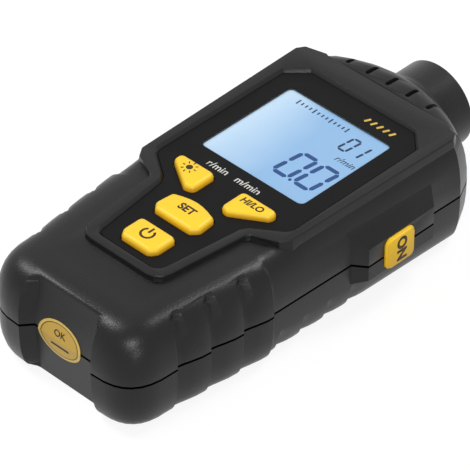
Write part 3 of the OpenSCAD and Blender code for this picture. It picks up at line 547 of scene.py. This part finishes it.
sunSign = {"disc": 1.05, "rays": 8, "reach": 2.1, "rayMm": 0.9, "rayWide": 0.38}
sunParts = [flatDisc(0, 0, sunSign["disc"])]
for k in range(sunSign["rays"]):
    angle = math.tau * k / sunSign["rays"]
    sunParts.append(flatBar(sunSign["reach"] * math.cos(angle), sunSign["reach"] * math.sin(angle),
                            sunSign["rayMm"], sunSign["rayWide"], math.degrees(angle)))
layOnKey(joined(sunParts), "light_mark", "light_key")

rangeWord = {"words": "HI/LO", "cap": 2.3, "slant": 0.1, "heavy": 0.11}
layOnKey(flatText(rangeWord), "range_mark", "max_min_key")

sideWord = {"words": "ON", "cap": 3.8, "slant": 0.0, "heavy": 0.25}
testLow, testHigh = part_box("test_key")
testFace = Vector((testHigh.x - sink, (testLow.y + testHigh.y) / 2, (testLow.z + testHigh.z) / 2))
layPrint(flatText(sideWord), "side_mark", sideways, testFace, "test_key", printBrown)
print("keys printed")


# Seal marks: one on each side of the parting line, each leaning with its half

sealInk = {"upperLean": -9.9, "lowerLean": 6.04, "rise": 2.2, "barLong": 7.0, "barWide": 0.7}
sealWord = {"words": "OK", "cap": 2.2, "slant": 0.0, "heavy": 0.03}


def layOnSeal(piece, name, lean, rise):
    tilt = Matrix.Rotation(math.radians(90 + lean), 3, "X")
    foot = Vector((sealMid.x, sealLow.y, sealMid.z))
    layPrint(piece, name, tilt, foot + tilt @ Vector((0, rise * mm, 0)), "housing", printBrown)


layOnSeal(flatText(sealWord), "seal_upper", sealInk["upperLean"], sealInk["rise"])
layOnSeal(flatBar(0, 0, sealInk["barLong"], sealInk["barWide"]), "seal_lower", sealInk["lowerLean"],
          -sealInk["rise"])


# Panel marks

unitsWord = {"words": "r/min   m/min", "cap": 2.7, "slant": 0.0, "heavy": 0.03, "x": -2.2, "y": -5.6}
unitsPlace = Vector((unitsWord["x"] * mm, unitsWord["y"] * mm, panelZ - sink))
layPrint(flatText(unitsWord), "units_legend", upright, unitsPlace, "housing", printWhite)

goldInk = {"x": 11.6, "y": 40.0, "step": 2.4, "bars": 5, "long": 2.2, "wide": 0.8, "angle": 65}
goldBars = []
for k in range(goldInk["bars"]):
    barX = (k - (goldInk["bars"] - 1) / 2) * goldInk["step"]
    goldBars.append(flatBar(barX, 0, goldInk["long"], goldInk["wide"], goldInk["angle"]))
goldPlace = Vector((goldInk["x"] * mm, goldInk["y"] * mm, panelZ - sink))
layPrint(joined(goldBars), "gold_bars", upright, goldPlace, "housing", printGold)
print("panel printed")


# Display marks, placed from the middle of the window

displayPlace = Vector((0, (lcdLow.y + lcdHigh.y) / 2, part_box("lcd_glass")[1].z - sink))
segmentEnds = {"a": ((0, 1), (1, 1)), "b": ((1, 1), (1, 0.5)), "c": ((1, 0.5), (1, 0)),
               "d": ((1, 0), (0, 0)), "e": ((0, 0), (0, 0.5)), "f": ((0, 0.5), (0, 1))}
digitSegments = {"0": "abcdef", "1": "bc"}
segmentShape = {"slant": 0.12, "gap": 0.16}  # the gap at each end is a share of the stroke


def layOnDisplay(piece, name, material, x=0.0, y=0.0):
    place = displayPlace + Vector((x * mm, y * mm, 0))
    layPrint(piece, name, upright, place, "housing", material)


def segmentBar(start, end, stroke):
    # one lit segment: a six-sided bar with pointed ends
    deselect()
    bpy.ops.mesh.primitive_circle_add(vertices=6, radius=1, fill_type="NGON")
    piece = bpy.context.active_object
    along = (end - start).normalized()
    across = Vector((-along.y, along.x, 0)) * stroke / 2
    first = start + along * stroke * segmentShape["gap"]
    last = end - along * stroke * segmentShape["gap"]
    tip = along * stroke / 2
    corners = [first, first + tip - across, last - tip - across, last, last - tip + across,
               first + tip + across]
    for vertex, corner in zip(piece.data.vertices, corners):
        vertex.co = corner * mm
    return piece


def digitBars(spec):
    bars = []
    for digit, x, wide in spec["digits"]:
        for letter in digitSegments[digit]:
            ends = []
            for across, up in segmentEnds[letter]:
                rise = up * spec["high"]
                ends.append(Vector((x + across * wide + rise * segmentShape["slant"], spec["y"] + rise, 0)))
            bars.append(segmentBar(ends[0], ends[1], spec["stroke"]))
    return bars


reading = {"digits": (("0", 2.2, 5.6), ("0", 10.4, 5.8)), "y": -12.0, "high": 11.4, "stroke": 1.45,
           "dotX": 9.1, "dotY": -12.1, "dotRadius": 0.55}
readingDot = flatDisc(reading["dotX"], reading["dotY"], reading["dotRadius"])
layOnDisplay(joined(digitBars(reading) + [readingDot]), "reading_digits", segmentBlue)

count = {"digits": (("0", 8.6, 2.8), ("1", 12.8, 2.8)), "y": 7.9, "high": 6.4, "stroke": 0.8}
layOnDisplay(joined(digitBars(count)), "count_digits", segmentNavy)

unitWord = {"words": "r/min", "cap": 2.4, "slant": 0.2, "heavy": 0.02, "x": 15.0, "y": 4.3}
layOnDisplay(flatText(unitWord), "unit_mark", segmentNavy, unitWord["x"], unitWord["y"])

tickScale = {"ticks": 13, "x": -14.0, "y": 15.6, "step": 1.6, "wide": 0.5, "long": 2.2, "short": 1.3,
             "every": 4}
ticks = []
for k in range(tickScale["ticks"]):
    tall = tickScale["long"] if k % tickScale["every"] == 0 else tickScale["short"]
    ticks.append(flatBar(tickScale["x"] + tickScale["step"] * k, tickScale["y"], tickScale["wide"], tall))
layOnDisplay(joined(ticks), "bar_scale", segmentNavy)
print("display marked")


# Stage, light and camera

def shownRay(tree):
    # 1 for rays from the camera and for what metal and glass show of the studio, else 0
    seen = addNode(tree, "ShaderNodeLightPath")
    near = addNode(tree, "ShaderNodeMath",
                   links={0: seen.outputs["Is Camera Ray"], 1: seen.outputs["Is Glossy Ray"]},
                   operation="MAXIMUM")
    shown = addNode(tree, "ShaderNodeMath",
                    links={0: near.outputs[0], 1: seen.outputs["Is Transmission Ray"]}, operation="MAXIMUM")
    return shown.outputs[0]


stageSpec = {"floorSize": 8.0, "floorDrop": 0.2 * mm, "floorTone": "#808080", "floorGlow": 0.84,
             "worldLight": 0.25, "worldShown": 1.0, "white": "#ffffff"}


def studioFloor():
    # matt paper sweep: white to the eye and in reflections, still taking the soft shadow
    material, tree = startMaterial("white_paper_sweep")
    level = addNode(tree, "ShaderNodeMath", {1: stageSpec["floorGlow"]}, {0: shownRay(tree)},
                    operation="MULTIPLY")
    matt = addNode(tree, "ShaderNodeBsdfDiffuse", {"Color": linear(stageSpec["floorTone"])})
    glow = addNode(tree, "ShaderNodeEmission", {"Color": linear(stageSpec["white"])},
                   {"Strength": level.outputs[0]})
    both = addNode(tree, "ShaderNodeAddShader", links={0: matt.outputs["BSDF"], 1: glow.outputs["Emission"]})
    closeMaterial(tree, both.outputs["Shader"])
    return material


deselect()
bpy.ops.mesh.primitive_plane_add(size=stageSpec["floorSize"], location=(0, 0, -stageSpec["floorDrop"]))
floor = bpy.context.active_object
floor.name = "studio_floor"
paint(floor, studioFloor())

world = bpy.data.worlds.new("studio_world")
bpy.context.scene.world = world
world.use_nodes = True
sky = world.node_tree
sky.nodes.clear()
skyLevel = addNode(sky, "ShaderNodeMapRange",
                   {"To Min": stageSpec["worldLight"], "To Max": stageSpec["worldShown"]},
                   {"Value": shownRay(sky)})
skyGlow = addNode(sky, "ShaderNodeBackground", {"Color": linear(stageSpec["white"])},
                  {"Strength": skyLevel.outputs["Result"]})
addNode(sky, "ShaderNodeOutputWorld", links={"Surface": skyGlow.outputs["Background"]})

lampSpecs = {
    "tail_soft": {"place": (-0.49, -0.22, 0.72), "size": 0.28, "watts": 3.0},  # glints along the tail's edge
    "right_soft": {"place": (0.12, 0.52, 0.72), "size": 0.3, "watts": 2.8},  # glints along the right edge
    "camera_soft": {"place": (0.50, -0.55, 0.50), "size": 0.4, "watts": 3.4},  # fills the near sides
    "groove_soft": {"place": (0.84, -0.53, 0.12), "size": 0.16, "watts": 1.0},  # glints in the grip
}
for lampName, lamp in lampSpecs.items():
    light = bpy.data.lights.new(lampName, "AREA")
    light.shape = "DISK"
    light.size = lamp["size"]
    light.energy = lamp["watts"]
    lampObject = bpy.data.objects.new(lampName, light)
    bpy.context.scene.collection.objects.link(lampObject)
    lampObject.location = lamp["place"]
    lampObject.rotation_euler = (-Vector(lamp["place"])).to_track_quat("-Z", "Y").to_euler()

# the camera stands off from the display, and its aim is moved so that the display sits as in the photograph
cameraSpec = {"azimuth": 43.36, "elevation": 38.14, "distance": 1.1, "lens": 296.2, "sensor": 36,
              "right": 17.10, "up": 25.93}
sideTurn = math.radians(cameraSpec["azimuth"])
tiltUp = math.radians(cameraSpec["elevation"])
rightWay = Vector((math.cos(sideTurn), math.sin(sideTurn), 0))
upWay = Vector((-math.sin(sideTurn) * math.sin(tiltUp), math.cos(sideTurn) * math.sin(tiltUp),
                math.cos(tiltUp)))
backWay = rightWay.cross(upWay)
displayCentre = Vector((0, (lcdLow.y + lcdHigh.y) / 2, panelZ))
aim = displayCentre - rightWay * cameraSpec["right"] * mm - upWay * cameraSpec["up"] * mm
cameraData = bpy.data.cameras.new("photo_camera")
cameraData.sensor_width = cameraSpec["sensor"]
cameraData.lens = cameraSpec["lens"]
camera = bpy.data.objects.new("photo_camera", cameraData)
bpy.context.scene.collection.objects.link(camera)
camera.location = displayCentre + backWay * cameraSpec["distance"]
camera.rotation_euler = (aim - camera.location).to_track_quat("-Z", "Y").to_euler()
bpy.context.scene.camera = camera
bpy.context.scene.view_settings.view_transform = "Standard"
print("stage set")
